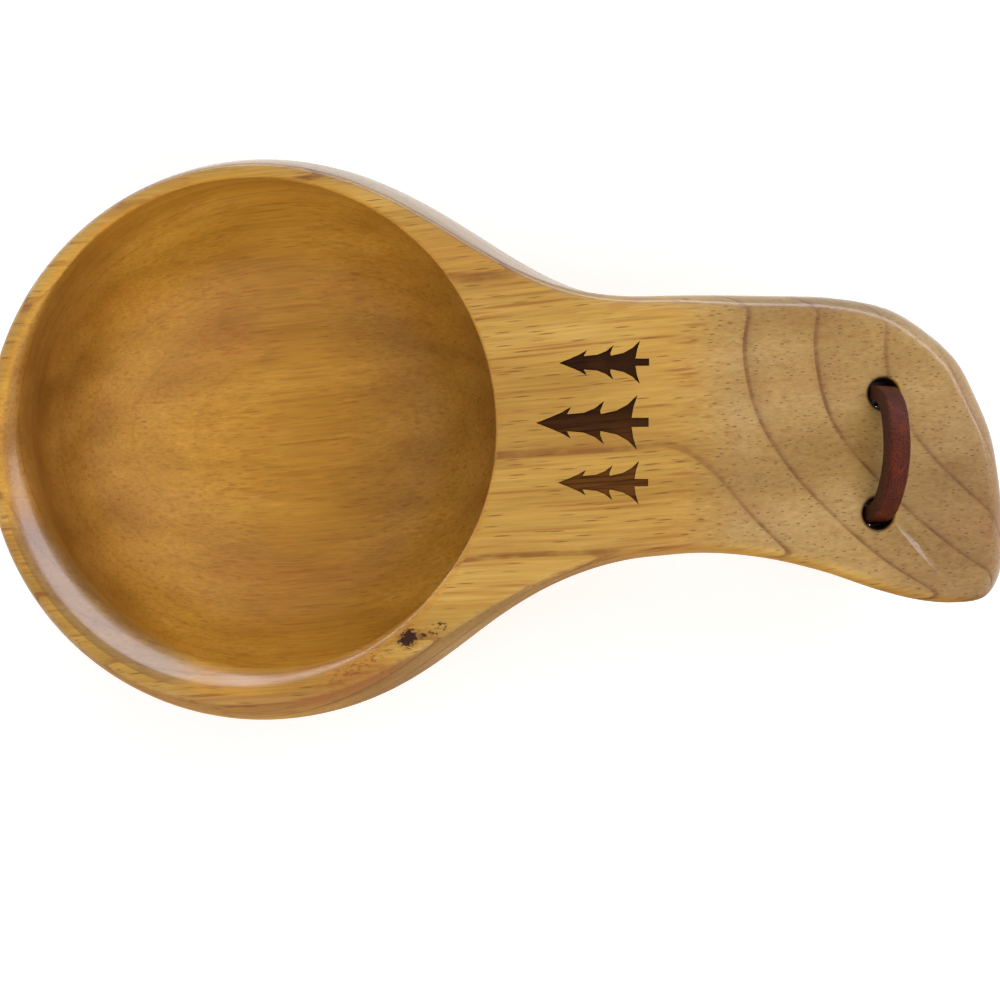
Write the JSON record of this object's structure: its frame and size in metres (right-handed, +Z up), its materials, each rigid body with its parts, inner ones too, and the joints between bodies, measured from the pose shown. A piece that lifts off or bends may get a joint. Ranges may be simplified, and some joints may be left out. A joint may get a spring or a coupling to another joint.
{
  "type": "kuksa wooden cup",
  "caption": "Carved wooden drinking cup with a round bowl, a broad sloping handle, a burned tree mark and a knotted leather lace through the handle.",
  "frame": {"origin": "centre of the flat foot that the cup stands on, on the bowl's axis", "axes": "+Z up along the bowl's axis, +X from the bowl along the handle, +Y to the left of someone looking along +X"},
  "size_m": [0.176, 0.098, 0.056],
  "materials": {
    "wood": "satin lacquer over fine straight grain",
    "leather": "smooth waxed dark red-brown, cut edges",
    "leather_knot": "smooth waxed dark red-brown, cut edges"
  },
  "bodies": {
    "root": {"cup": "wood", "lace": "leather", "lace_knot": "leather_knot"}
  },
  "joints": []
}
